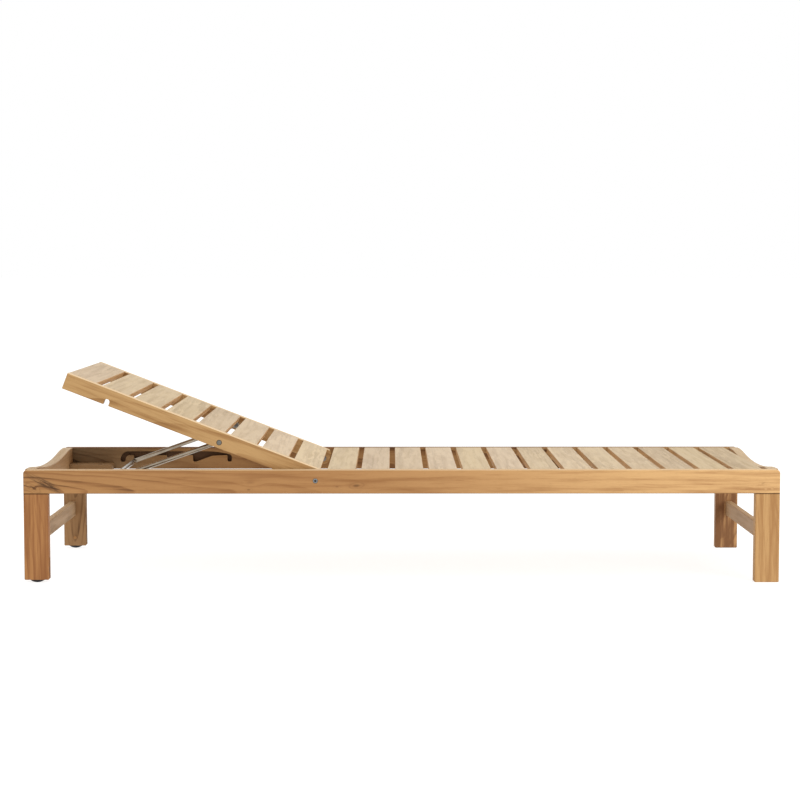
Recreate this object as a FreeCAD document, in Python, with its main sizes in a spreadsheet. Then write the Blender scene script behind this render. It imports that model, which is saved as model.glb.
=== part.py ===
import FreeCAD, Part
import Sketcher
import math
import os
import re

# Timber sun lounger with a backrest held up by a steel prop in ratchet tracks.
# The frame lies along X with its head end at -X, stands on Z = 0 and is centred on X = 0 and Y = 0.
# Right and left are those of a person lying on it: right is -Y, left is +Y.

SIZES = {
    # Frame
    "frame_length": 2000,
    "frame_width": 650,
    "frame_top": 300,
    "rail_height": 63,
    "rail_thick": 28,
    "rail_end_round": 10,
    "board_chamfer": 1.5,
    "cross_tenon_thick": 12,
    "cross_tenon_height": 30,
    "cross_tenon_rise": 8,
    "cross_tenon_length": 8,
    "dish_depth": 16,
    "dish_land": 20,
    "dish_shoulder": 700,
    # Legs and stretchers
    "leg_width": 65,
    "leg_thick": 28,
    "leg_round": 2.5,
    "leg_tenon_width": 45,
    "leg_tenon_thick": 10,
    "leg_tenon_length": 40,
    "leg_foot_chamfer": 2,
    "head_leg_lift": 7.5,
    "peg_diameter": 8,
    "peg_length": 20,
    "peg_spacing": 17,
    "peg_inset": 21,
    "peg_rise": 13,
    "stretcher_thick": 18,
    "stretcher_height": 42,
    "stretcher_bottom": 98,
    "stretcher_inset": 17,
    "stretcher_round": 2,
    "stretcher_tenon_shoulder": 4,
    "stretcher_tenon_length": 10,
    # Wheels
    "wheel_diameter": 64,
    "wheel_width": 10,
    "wheel_web": 6,
    "wheel_hub_diameter": 20,
    "wheel_rim_depth": 8,
    "tyre_chamfer": 1.5,
    "wheel_slot": 12,
    "wheel_slot_clearance": 2.5,
    "wheel_hub_clearance": 0.3,
    "axle_diameter": 6,
    "axle_cover": 4,
    # Seat
    "slat_width": 75,
    "slat_thick": 16,
    "slat_gap": 15,
    "slat_round": 2,
    "slat_tenon_shoulder": 10,
    "slat_tenon_thick": 8,
    "slat_tenon_length": 12,
    # Rest blocks
    "rest_length": 123,
    "rest_width": 62,
    "rest_clearance": 0.5,
    # Backrest
    "pivot_from_head": 771,
    "pivot_drop": 29,
    "back_angle": 21.1,
    "back_head_gap": 29,
    "back_tail": 18,
    "back_tail_round": 14,
    "back_rail_height": 44,
    "back_rail_thick": 26,
    "back_side_gap": 3,
    "tail_clearance": 1,
    "back_slat_gap": 16,
    "back_end_slat_width": 79,
    "back_tenon_length": 10,
    "rod_notch_width": 15,
    "rod_notch_depth": 16.5,
    "rod_notch_round": 7,
    # Prop
    "prop_from_pivot": 274.5,
    "prop_length": 316.3,
    "rod_diameter": 12,
    "rod_drop": 35.3,
    "rod_end_gap": 0.7,
    "rod_chamfer": 1,
    "weld_gap": 0.1,
    "eye_diameter": 20,
    "eye_thick": 5,
    "eye_neck": 30,
    "arm_inset": 1,
    # Ratchet track
    "middle_angle": 42,
    "high_angle": 54,
    "top_angle": 68.5,
    "track_depth": 12,
    "track_roof": 11,
    "track_floor": 22.5,
    "ramp_drop": 1.5,
    "ramp_round": 40,
    "notch_clearance": 0.5,
    "notch_round": 5.5,
    "lip_round": 3,
    "hook_width": 14.5,
    "hook_shift": 3,
    "hook_outer_round": 24,
    "hook_inner_round": 13,
    "roof_fall": 10,
    "roof_fall_run": 47,
    "roof_fall_round": 240,
    "roof_end_round": 10,
    # Bolts
    "pivot_bolt_diameter": 8,
    "pivot_head_diameter": 13,
    "pivot_head_thick": 4,
    "pivot_socket": 5,
    "pivot_socket_depth": 2.5,
    "pivot_nut_width": 13,
    "pivot_nut_thick": 6.5,
    "pivot_flange_diameter": 18,
    "pivot_spacer_diameter": 20,
    "prop_bolt_diameter": 6,
    "prop_head_diameter": 14,
    "prop_head_thick": 2.5,
    "prop_nut_width": 10,
    "prop_nut_thick": 5,
    "prop_flange_diameter": 14,
    "prop_spacer_diameter": 12,
    "flange_thick": 1.2,
    "bolt_end": 3,
    "head_chamfer": 0.6,
    "head_sink": 0.4,
    # Fits
    "running_fit": 0.1,
    "head_clearance": 0.3,
    "face_gap": 0.3,
}

os.makedirs("parts", exist_ok=True)
doc = FreeCAD.newDocument("SunLounger")
sheet = doc.addObject("Spreadsheet::Sheet", "Sizes")
for row, (alias, size) in enumerate(SIZES.items(), start=1):
    sheet.set(f"A{row}", alias)
    sheet.set(f"B{row}", str(size))
    sheet.setAlias(f"B{row}", alias)
doc.recompute()

ALIAS = re.compile(r"\b(" + "|".join(sorted(SIZES, key=len, reverse=True)) + r")\b")
SIDES = {"right": -1, "left": 1}
SKETCH_PLANES = {"x": "YZ_Plane", "y": "XZ_Plane", "z": "XY_Plane"}
EXPORTS = []


def bound(formula):
    """The formula with each size's name pointed at its cell."""
    return ALIAS.sub(r"Sizes.\1", str(formula))


def number(formula):
    """What the formula comes to now."""
    result = sheet.evalExpression(bound(formula))
    return float(getattr(result, "Value", result))


# Places that several pieces share
RAIL_BOTTOM = "(frame_top - rail_height)"
RAIL_INSIDE = "(frame_width/2 - rail_thick)"
FOOT_RAIL_INSIDE = "(frame_length - rail_thick)"
LEG_MIDDLE = "(frame_width/2 - leg_thick/2)"
PIVOT_HEIGHT = "(frame_top - pivot_drop)"
BACK_REACH = "(pivot_from_head - rail_thick - back_head_gap)"
BACK_OUTSIDE = f"({RAIL_INSIDE} - back_side_gap)"
BACK_INSIDE = f"({BACK_OUTSIDE} - back_rail_thick)"
BACK_UNDER = "(pivot_drop - back_rail_height)"
ROD_RADIUS = "(rod_diameter/2)"
ARM_MIDDLE = f"({BACK_INSIDE} - arm_inset - {ROD_RADIUS})"
ROD_HEIGHT = "(frame_top - rod_drop)"

# Slats: as many as fit, those of the seat set from the foot rail and those of the backrest from its end
SEAT_PITCH = "(slat_width + slat_gap)"
BACK_PITCH = "(slat_width + back_slat_gap)"
TAIL_SWING = "(sqrt((back_tail - back_tail_round)^2 + (pivot_drop - back_tail_round)^2) + back_tail_round)"
SEAT_ROOM = f"({FOOT_RAIL_INSIDE} - pivot_from_head - {TAIL_SWING} - tail_clearance)"
SEAT_SLATS = f"floor({SEAT_ROOM}/{SEAT_PITCH})"
SEAT_START = f"({FOOT_RAIL_INSIDE} - {SEAT_SLATS}*{SEAT_PITCH})"
BACK_ROOM = f"({BACK_REACH} + back_tail - back_tail_round - back_end_slat_width)"
BACK_SLATS = f"(floor({BACK_ROOM}/{BACK_PITCH}) + 1)"


def rod_place(angle):
    """How far the cross rod lies from the frame's head end with the backrest at this angle."""
    fall = f"(prop_from_pivot*sin({angle}) + rod_drop - pivot_drop)"
    return f"(pivot_from_head - prop_from_pivot*cos({angle}) - sqrt(prop_length^2 - {fall}^2))"


PROP_LEAN = "asin((prop_from_pivot*sin(back_angle) + rod_drop - pivot_drop)/prop_length)"


def new_body(name):
    body = doc.addObject("PartDesign::Body", name)
    body.Label = name
    doc.recompute()
    EXPORTS.append(body)
    return body


def frame_body(name):
    """A body whose X is measured from the frame's head end."""
    body = new_body(name)
    body.setExpression("Placement.Base.x", bound("-frame_length/2"))
    return body


def backrest_body(name):
    """A body measured from the backrest's pivot, drawn lying flat and turned up to the rest angle."""
    body = new_body(name)
    body.Placement = FreeCAD.Placement(FreeCAD.Vector(), FreeCAD.Rotation(FreeCAD.Vector(0, 1, 0), 1))
    body.setExpression("Placement.Base.x", bound("pivot_from_head - frame_length/2"))
    body.setExpression("Placement.Base.z", bound(PIVOT_HEIGHT))
    body.setExpression("Placement.Rotation.Angle", bound("back_angle"))
    return body


def prop_body(name):
    """A body measured from the cross rod, drawn level with the arms towards +X and tipped to their lean."""
    body = new_body(name)
    body.Placement = FreeCAD.Placement(FreeCAD.Vector(), FreeCAD.Rotation(FreeCAD.Vector(0, -1, 0), 1))
    body.setExpression("Placement.Base.x", bound(f"{rod_place('back_angle')} - frame_length/2"))
    body.setExpression("Placement.Base.z", bound(ROD_HEIGHT))
    body.setExpression("Placement.Rotation.Angle", bound(PROP_LEAN))
    return body


def new_sketch(body, across, at):
    """A sketch on the body's own origin plane square to an axis, moved along that axis."""
    sketch = body.newObject("Sketcher::SketchObject", body.Name + "_sketch")
    plane = next(item for item in body.Origin.OriginFeatures if item.Role == SKETCH_PLANES[across])
    sketch.AttachmentSupport = [(plane, "")]
    sketch.MapMode = "FlatFace"
    turn = "-" if across == "y" else ""
    sketch.setExpression("AttachmentOffset.Base.z", bound(f"{turn}({at})"))
    return sketch


def hold(sketch, kind, formula, *places):
    """A dimension of the sketch that follows its formula."""
    index = sketch.addConstraint(Sketcher.Constraint(kind, *places, number(formula)))
    sketch.setExpression(f"Constraints[{index}]", bound(formula))


def hold_point(sketch, geometry, end, x, y):
    hold(sketch, "DistanceX", x, -1, 1, geometry, end)
    hold(sketch, "DistanceY", y, -1, 1, geometry, end)


def draw_circle(sketch, x, y, diameter):
    middle = FreeCAD.Vector(number(x), number(y), 0)
    circle = sketch.addGeometry(Part.Circle(middle, FreeCAD.Vector(0, 0, 1), number(diameter)/2))
    hold_point(sketch, circle, 3, x, y)
    hold(sketch, "Diameter", diameter, circle)


def counterclockwise_arc(middle, radius, start, end):
    first = math.atan2(start.y - middle.y, start.x - middle.x)
    last = math.atan2(end.y - middle.y, end.x - middle.x)
    return Part.ArcOfCircle(Part.Circle(middle, FreeCAD.Vector(0, 0, 1), radius), first, last)


def add_arc(sketch, middle, radius, start, end, turns_left):
    """An arc from start to end, with the sketcher's numbers for the arc's point at each."""
    if turns_left:
        return sketch.addGeometry(counterclockwise_arc(middle, radius, start, end)), 1, 2
    return sketch.addGeometry(counterclockwise_arc(middle, radius, end, start)), 2, 1


def draw_outline(sketch, corners, bends):
    """A closed outline. A corner is (x, y) or (x, y, rounding radius). bends gives the radius of an arc
    that takes the place of the line from a corner to the next: above 0 it bulges to the right of the way
    the outline runs, below 0 to the left."""
    count = len(corners)
    points = [FreeCAD.Vector(number(corner[0]), number(corner[1]), 0) for corner in corners]
    starts = list(points)
    ends = points[1:] + points[:1]
    rounded = {}
    for index, corner in enumerate(corners):
        if len(corner) < 3:
            continue
        before = (points[index - 1] - points[index]).normalize()
        after = (points[(index + 1) % count] - points[index]).normalize()
        radius = number(corner[2])
        half = before.getAngle(after)/2
        ends[index - 1] = points[index] + before*(radius/math.tan(half))
        starts[index] = points[index] + after*(radius/math.tan(half))
        middle = points[index] + (before + after).normalize()*(radius/math.sin(half))
        rounded[index] = (middle, radius)
    edges = []
    for index in range(count):
        start, end = starts[index], ends[index]
        if index not in bends:
            edges.append((sketch.addGeometry(Part.LineSegment(start, end)), 1, 2))
            continue
        radius = number(bends[index])
        chord = end - start
        right = FreeCAD.Vector(chord.y, -chord.x, 0).normalize()
        reach = math.sqrt(max(radius**2 - (chord.Length/2)**2, 0))
        middle = (start + end)/2 - right*math.copysign(reach, radius)
        edges.append(add_arc(sketch, middle, abs(radius), start, end, radius > 0))
        hold(sketch, "Radius", f"abs({bends[index]})", edges[-1][0])
    for index, corner in enumerate(corners):
        before, before_end = edges[index - 1][0], edges[index - 1][2]
        after, after_start = edges[index][0], edges[index][1]
        if index not in rounded:
            sketch.addConstraint(Sketcher.Constraint("Coincident", before, before_end, after, after_start))
            hold_point(sketch, after, after_start, corner[0], corner[1])
            continue
        middle, radius = rounded[index]
        start, end = ends[index - 1], starts[index]
        turns_left = (start - middle).cross(end - middle).z > 0
        arc, arc_start, arc_end = add_arc(sketch, middle, radius, start, end, turns_left)
        sketch.addConstraint(Sketcher.Constraint("Tangent", before, before_end, arc, arc_start))
        sketch.addConstraint(Sketcher.Constraint("Tangent", arc, arc_end, after, after_start))
        hold(sketch, "Radius", corner[2], arc)
        corner_point = sketch.addGeometry(Part.Point(points[index]), True)
        hold_point(sketch, corner_point, 1, corner[0], corner[1])
        sketch.addConstraint(Sketcher.Constraint("PointOnObject", corner_point, 1, before))
        sketch.addConstraint(Sketcher.Constraint("PointOnObject", corner_point, 1, after))


def extrude(body, kind, across, start, end, corners=(), bends=None, circles=()):
    """Pads or pockets an outline and circles along an axis, from one place on that axis to another."""
    low, high = sorted((start, end), key=number)
    sketch = new_sketch(body, across, low)
    if corners:
        draw_outline(sketch, corners, bends or {})
    for circle in circles:
        draw_circle(sketch, *circle)
    feature = body.newObject("PartDesign::" + kind, f"{body.Name}_{kind}")
    feature.Profile = sketch
    feature.Reversed = (kind == "Pad") == (across == "y")
    feature.setExpression("Length", bound(f"({high}) - ({low})"))
    return feature


def pad(body, across, start, end, corners=(), bends=None, circles=()):
    return extrude(body, "Pad", across, start, end, corners, bends, circles)


def pocket(body, across, start, end, corners=(), bends=None, circles=()):
    return extrude(body, "Pocket", across, start, end, corners, bends, circles)


def rectangle(left, low, right, high, radius=None):
    corners = [(left, low), (right, low), (right, high), (left, high)]
    return [corner + (radius,) for corner in corners] if radius else corners


def hexagon(x, y, width):
    """A hexagon of this width across its flats."""
    reach = f"({width}/sqrt(3))"
    return [(f"{x} + {reach}*cos({60*k})", f"{y} + {reach}*sin({60*k})") for k in range(6)]


def repeat_along_x(body, feature, pitch, count):
    pattern = body.newObject("PartDesign::LinearPattern", body.Name + "_pattern")
    pattern.Originals = [feature]
    axis = next(item for item in body.Origin.OriginFeatures if item.Role == "X_Axis")
    pattern.Direction = (axis, [""])
    pattern.setExpression("Length", bound(f"{pitch}*({count} - 1)"))
    pattern.setExpression("Occurrences", bound(count))
    body.Tip = pattern


def chamfer_faces(body, directions, size):
    """Chamfers every edge of the body's flat faces that look in one of these directions."""
    doc.recompute()
    tip = body.Tip
    names = []
    for index, face in enumerate(tip.Shape.Faces, start=1):
        if not isinstance(face.Surface, Part.Plane):
            continue
        if any(face.normalAt(0, 0).dot(direction) > 1 - 1e-6 for direction in directions):
            names.append(f"Face{index}")
    chamfer = body.newObject("PartDesign::Chamfer", body.Name + "_chamfer")
    chamfer.Base = (tip, names)
    chamfer.setExpression("Size", bound(size))
    doc.recompute()


ALONG = FreeCAD.Vector(1, 0, 0)
ACROSS = FreeCAD.Vector(0, 1, 0)
UP = FreeCAD.Vector(0, 0, 1)

# Legs: where each stands along the frame, from the head end
LEG_STARTS = {"head": "0", "foot": "(frame_length - leg_width)"}
LEG_BOTTOMS = {"head": "head_leg_lift", "foot": "0"}
STRETCHER_STARTS = {"head": "stretcher_inset", "foot": "(frame_length - stretcher_inset - stretcher_thick)"}


def leg_tenon(end, side):
    """The leg's tenon in plan, in the middle of the leg and of the rail above it."""
    middle = f"({LEG_STARTS[end]} + leg_width/2)"
    low, high = f"({middle} - leg_tenon_width/2)", f"({middle} + leg_tenon_width/2)"
    across = f"({side}*(frame_width/2 - rail_thick/2))"
    return rectangle(low, f"{across} - leg_tenon_thick/2", high, f"{across} + leg_tenon_thick/2")


def peg_places(end):
    """The two pegs through a leg's tenon, mirrored from the head end to the foot end."""
    steps = ["peg_inset", "(peg_inset + peg_spacing)"]
    if end == "foot":
        steps = [f"(frame_length - {step})" for step in steps]
    return [(step, f"({RAIL_BOTTOM} + peg_rise)") for step in steps]


def cross_tenon(end):
    """The head or foot rail's tenon seen from the side."""
    start = "0" if end == "head" else FOOT_RAIL_INSIDE
    low = f"({start} + (rail_thick - cross_tenon_thick)/2)"
    bottom = f"({RAIL_BOTTOM} + cross_tenon_rise)"
    return rectangle(low, bottom, f"({low} + cross_tenon_thick)", f"({bottom} + cross_tenon_height)")


def slat_tenon(start, top):
    """A slat's tenon seen from the side, in the middle of the slat's thickness."""
    middle = f"({top} - slat_thick/2)"
    return rectangle(f"({start} + slat_tenon_shoulder)", f"({middle} - slat_tenon_thick/2)",
                     f"({start} + slat_width - slat_tenon_shoulder)", f"({middle} + slat_tenon_thick/2)")


def track_outline():
    """The routed ratchet track seen from the side: a channel with a hook at its head end for the flat
    backrest, and four notches that each hold the cross rod at one angle of the backrest."""
    half = f"({ROD_RADIUS} + notch_clearance)"
    floor = f"({ROD_HEIGHT} - {half})"
    lip = "(frame_top - track_floor)"
    roof = "(frame_top - track_roof)"
    hook_right = f"({rod_place(0)} - hook_shift + hook_width/2)"
    hook_left = f"({hook_right} - hook_width)"
    notches = [rod_place(angle) for angle in ("back_angle", "middle_angle", "high_angle", "top_angle")]
    corners = [(hook_left, roof, "hook_outer_round"), (hook_left, f"({floor} - notch_clearance)", "notch_round"),
               (hook_right, f"({floor} - notch_clearance)", "notch_round"),
               (hook_right, lip, "hook_inner_round")]
    for here, following in zip(notches, notches[1:] + [None]):
        corners.append((f"({here} - {half})", lip, "lip_round"))
        corners.append((f"({here} - {half})", floor, "notch_round"))
        if following is None:
            corners.append((f"({here} + {half})", floor, "notch_round"))
            continue
        corners.append((f"({here} + {half}/2)", floor, "notch_round"))
        corners.append((f"(({here} + {following})/2)", f"({lip} - ramp_drop)", "ramp_round"))
    end = f"({notches[-1]} + {half})"
    corners.append((end, f"({roof} - roof_fall)", "roof_end_round"))
    corners.append((f"({end} - roof_fall_run)", roof, "roof_fall_round"))
    return corners


# Side rails: full length, with mortises for slats, cross rails and legs, and the ratchet track inside
for side_name, side in SIDES.items():
    rail = frame_body("side_rail_" + side_name)
    inside = f"{side}*{RAIL_INSIDE}"
    outside = f"{side}*frame_width/2"
    pad(rail, "y", inside, outside,
        [("0", RAIL_BOTTOM), ("frame_length", RAIL_BOTTOM),
         ("frame_length", "frame_top", "rail_end_round"), ("0", "frame_top", "rail_end_round")])
    chamfer_faces(rail, [ACROSS, -ACROSS], "board_chamfer")
    for end in LEG_STARTS:
        pocket(rail, "y", inside, f"{side}*({RAIL_INSIDE} + cross_tenon_length)", cross_tenon(end))
        pocket(rail, "z", RAIL_BOTTOM, f"{RAIL_BOTTOM} + leg_tenon_length", leg_tenon(end, side))
        pocket(rail, "y", outside, f"{side}*(frame_width/2 - peg_length)",
               circles=[(x, z, "peg_diameter + 2*running_fit") for x, z in peg_places(end)])
    mortise = pocket(rail, "y", inside, f"{side}*({RAIL_INSIDE} + slat_tenon_length)",
                     slat_tenon(SEAT_START, "frame_top"))
    repeat_along_x(rail, mortise, SEAT_PITCH, SEAT_SLATS)
    pocket(rail, "y", inside, f"{side}*({RAIL_INSIDE} + track_depth)", track_outline())
    pocket(rail, "y", inside, outside,
           circles=[("pivot_from_head", PIVOT_HEIGHT, "pivot_bolt_diameter + 2*running_fit")])
    pocket(rail, "y", outside, f"{side}*(frame_width/2 - head_sink - pivot_head_thick)",
           circles=[("pivot_from_head", PIVOT_HEIGHT, "pivot_head_diameter + 2*head_clearance")])

# Head and foot rails: the top edge dips in one smooth sweep between two level lands
for end in LEG_STARTS:
    rail = frame_body(end + "_rail")
    start = "0" if end == "head" else FOOT_RAIL_INSIDE
    land = f"({RAIL_INSIDE} - dish_land)"
    sweep = f"((({land})^2 + dish_depth^2)/(2*dish_depth))"
    slope = f"(2*atan(dish_depth/{land}))"
    turn_over = f"({land} - dish_shoulder*sin({slope}))"
    turn_height = f"(frame_top - dish_shoulder*(1 - cos({slope})))"
    pad(rail, "x", start, f"{start} + rail_thick",
        [(f"-{RAIL_INSIDE}", RAIL_BOTTOM), (RAIL_INSIDE, RAIL_BOTTOM), (RAIL_INSIDE, "frame_top"),
         (land, "frame_top"), (turn_over, turn_height), (f"-{turn_over}", turn_height),
         (f"-{land}", "frame_top"), (f"-{RAIL_INSIDE}", "frame_top")],
        bends={3: "dish_shoulder", 4: f"-({sweep} - dish_shoulder)", 5: "dish_shoulder"})
    chamfer_faces(rail, [ALONG, -ALONG], "board_chamfer")
    reach = f"({RAIL_INSIDE} + cross_tenon_length)"
    pad(rail, "y", f"-{reach}", reach, cross_tenon(end))

# Legs: tenoned up into the side rails, the head pair slotted from below for their wheels
for end, start in LEG_STARTS.items():
    for side_name, side in SIDES.items():
        leg = frame_body(f"{end}_leg_{side_name}")
        bottom = LEG_BOTTOMS[end]
        middle_x = f"({start} + leg_width/2)"
        face_in = f"{side}*(frame_width/2 - leg_thick)"
        face_out = f"{side}*frame_width/2"
        low_y, high_y = sorted((face_in, face_out), key=number)
        pad(leg, "z", bottom, RAIL_BOTTOM,
            rectangle(start, low_y, f"{start} + leg_width", high_y, "leg_round"))
        chamfer_faces(leg, [-UP], "leg_foot_chamfer")
        pad(leg, "z", RAIL_BOTTOM, f"{RAIL_BOTTOM} + leg_tenon_length", leg_tenon(end, side))
        pocket(leg, "y", f"{side}*frame_width/2", f"{side}*(frame_width/2 - peg_length)",
               circles=[(x, z, "peg_diameter + 2*running_fit") for x, z in peg_places(end)])
        low_x = f"({STRETCHER_STARTS[end]} + stretcher_tenon_shoulder)"
        pocket(leg, "y", face_in, f"{side}*(frame_width/2 - leg_thick + stretcher_tenon_length)",
               rectangle(low_x, "stretcher_bottom + stretcher_tenon_shoulder",
                         f"{low_x} + stretcher_thick - 2*stretcher_tenon_shoulder",
                         "stretcher_bottom + stretcher_height - stretcher_tenon_shoulder"))
        if end == "foot":
            continue
        middle_y = f"{side}*{LEG_MIDDLE}"
        pocket(leg, "z", "0", "wheel_diameter + wheel_slot_clearance",
               rectangle(start, f"{middle_y} - wheel_slot/2", f"{start} + leg_width", f"{middle_y} + wheel_slot/2"))
        pocket(leg, "y", face_in, f"{side}*(frame_width/2 - axle_cover)",
               circles=[(middle_x, "wheel_diameter/2", "axle_diameter + 2*running_fit")])

# Pegs: two through each leg's tenon, flush with the rail's outer face
pegs = []
for end in LEG_STARTS:
    for side_name, side in SIDES.items():
        for x, z in peg_places(end):
            peg = doc.addObject("Part::Cylinder", "peg")
            peg.setExpression("Radius", bound("peg_diameter/2"))
            peg.setExpression("Height", bound("peg_length"))
            peg.Placement = FreeCAD.Placement(FreeCAD.Vector(), FreeCAD.Rotation(FreeCAD.Vector(side, 0, 0), 90))
            peg.setExpression("Placement.Base.x", bound(f"{x} - frame_length/2"))
            peg.setExpression("Placement.Base.y", bound(f"{side}*frame_width/2"))
            peg.setExpression("Placement.Base.z", bound(z))
            pegs.append(peg)
leg_pegs = doc.addObject("Part::Compound", "leg_pegs")
leg_pegs.Label = "leg_pegs"
leg_pegs.Links = pegs
EXPORTS.append(leg_pegs)

# Stretchers: one low rail between each pair of legs
for end, start in STRETCHER_STARTS.items():
    stretcher = frame_body(end + "_stretcher")
    face = "(frame_width/2 - leg_thick)"
    tenon = f"({face} + stretcher_tenon_length)"
    pad(stretcher, "y", f"-{face}", face,
        rectangle(start, "stretcher_bottom", f"{start} + stretcher_thick",
                  "stretcher_bottom + stretcher_height", "stretcher_round"))
    pad(stretcher, "y", f"-{tenon}", tenon,
        rectangle(f"{start} + stretcher_tenon_shoulder", "stretcher_bottom + stretcher_tenon_shoulder",
                  f"{start} + stretcher_thick - stretcher_tenon_shoulder",
                  "stretcher_bottom + stretcher_height - stretcher_tenon_shoulder"))

# Rest blocks: corner blocks that the flat backrest lies on
for side_name, side in SIDES.items():
    block = frame_body("rest_block_" + side_name)
    low_y, high_y = sorted((f"{side}*{RAIL_INSIDE}", f"{side}*({RAIL_INSIDE} - rest_width)"), key=number)
    pad(block, "z", RAIL_BOTTOM, "frame_top - back_rail_height - rest_clearance",
        rectangle("rail_thick", low_y, "rail_thick + rest_length", high_y))
    chamfer_faces(block, [UP, -UP], "board_chamfer")

# Seat slats: level with the rails, tenoned into both
for index in range(int(number(SEAT_SLATS))):
    slat = frame_body(f"seat_slat_{index + 1}")
    start = f"({SEAT_START} + {index}*{SEAT_PITCH})"
    pad(slat, "y", f"-{RAIL_INSIDE}", RAIL_INSIDE,
        rectangle(start, "frame_top - slat_thick", f"{start} + slat_width", "frame_top", "slat_round"))
    tenon = f"({RAIL_INSIDE} + slat_tenon_length)"
    pad(slat, "y", f"-{tenon}", tenon, slat_tenon(start, "frame_top"))

# Wheel axles: blind pins pushed in from the inner face of each head leg
for side_name, side in SIDES.items():
    axle = frame_body("axle_" + side_name)
    pad(axle, "y", f"{side}*(frame_width/2 - leg_thick)", f"{side}*(frame_width/2 - axle_cover)",
        circles=[("leg_width/2", "wheel_diameter/2", "axle_diameter")])

# Wheels: a solid tyre on a thinner web, with a hub that nearly fills the slot
for side_name, side in SIDES.items():
    wheel = new_body("wheel_" + side_name)
    wheel.setExpression("Placement.Base.x", bound("leg_width/2 - frame_length/2"))
    wheel.setExpression("Placement.Base.y", bound(f"{side}*{LEG_MIDDLE}"))
    wheel.setExpression("Placement.Base.z", bound("wheel_diameter/2"))
    profile = new_sketch(wheel, "x", "0")
    hub = "(wheel_slot/2 - wheel_hub_clearance)"
    rim = "(wheel_diameter/2 - wheel_rim_depth)"
    bore = "(axle_diameter/2 + running_fit)"
    draw_outline(profile, [
        (f"-{hub}", bore), (hub, bore), (hub, "wheel_hub_diameter/2"),
        ("wheel_web/2", "wheel_hub_diameter/2"), ("wheel_web/2", rim), ("wheel_width/2", rim),
        ("wheel_width/2", "wheel_diameter/2 - tyre_chamfer"), ("wheel_width/2 - tyre_chamfer", "wheel_diameter/2"),
        ("tyre_chamfer - wheel_width/2", "wheel_diameter/2"), ("-wheel_width/2", "wheel_diameter/2 - tyre_chamfer"),
        ("-wheel_width/2", rim), ("-wheel_web/2", rim), ("-wheel_web/2", "wheel_hub_diameter/2"),
        (f"-{hub}", "wheel_hub_diameter/2")], {})
    turned = wheel.newObject("PartDesign::Revolution", wheel.Name + "_turned")
    turned.Profile = profile
    turned.ReferenceAxis = (profile, ["H_Axis"])
    turned.Angle = 360

# Backrest rails: notched underneath for the cross rod, rounded behind the pivot to clear the seat
rod_when_flat = f"({rod_place(0)} - pivot_from_head)"
for side_name, side in SIDES.items():
    rail = backrest_body("backrest_rail_" + side_name)
    outside, inside = f"{side}*{BACK_OUTSIDE}", f"{side}*{BACK_INSIDE}"
    notch_left = f"({rod_when_flat} - rod_notch_width/2)"
    notch_right = f"({rod_when_flat} + rod_notch_width/2)"
    notch_top = f"({BACK_UNDER} + rod_notch_depth)"
    pad(rail, "y", outside, inside,
        [(f"-{BACK_REACH}", BACK_UNDER), ("back_tail", BACK_UNDER, "back_tail_round"),
         ("back_tail", "pivot_drop", "back_tail_round"), (f"-{BACK_REACH}", "pivot_drop")])
    chamfer_faces(rail, [ACROSS, -ACROSS], "board_chamfer")
    pocket(rail, "y", outside, inside,
           [(notch_left, f"({BACK_UNDER} - rod_notch_depth)"), (notch_right, f"({BACK_UNDER} - rod_notch_depth)"),
            (notch_right, notch_top, "rod_notch_round"), (notch_left, notch_top, "rod_notch_round")])
    mortise = pocket(rail, "y", inside, f"{side}*({BACK_INSIDE} + back_tenon_length)",
                     slat_tenon(f"(back_end_slat_width - slat_width - {BACK_REACH})", "pivot_drop"))
    repeat_along_x(rail, mortise, BACK_PITCH, BACK_SLATS)
    pocket(rail, "y", inside, outside,
           circles=[("0", "0", "pivot_bolt_diameter + 2*running_fit"),
                    ("-prop_from_pivot", "0", "prop_bolt_diameter + 2*running_fit")])
    pocket(rail, "y", outside, f"{side}*({BACK_OUTSIDE} - head_sink - prop_head_thick)",
           circles=[("-prop_from_pivot", "0", "prop_head_diameter + 2*head_clearance")])

# Back slats: level with the backrest rails, the first one wider to reach their ends
for index in range(int(number(BACK_SLATS))):
    slat = backrest_body(f"back_slat_{index + 1}")
    right = f"(back_end_slat_width - {BACK_REACH} + {index}*{BACK_PITCH})"
    left = f"-{BACK_REACH}" if index == 0 else f"({right} - slat_width)"
    pad(slat, "y", f"-{BACK_INSIDE}", BACK_INSIDE,
        rectangle(left, "pivot_drop - slat_thick", right, "pivot_drop", "slat_round"))
    tenon = f"({BACK_INSIDE} + back_tenon_length)"
    pad(slat, "y", f"-{tenon}", tenon, slat_tenon(f"({right} - slat_width)", "pivot_drop"))

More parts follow.
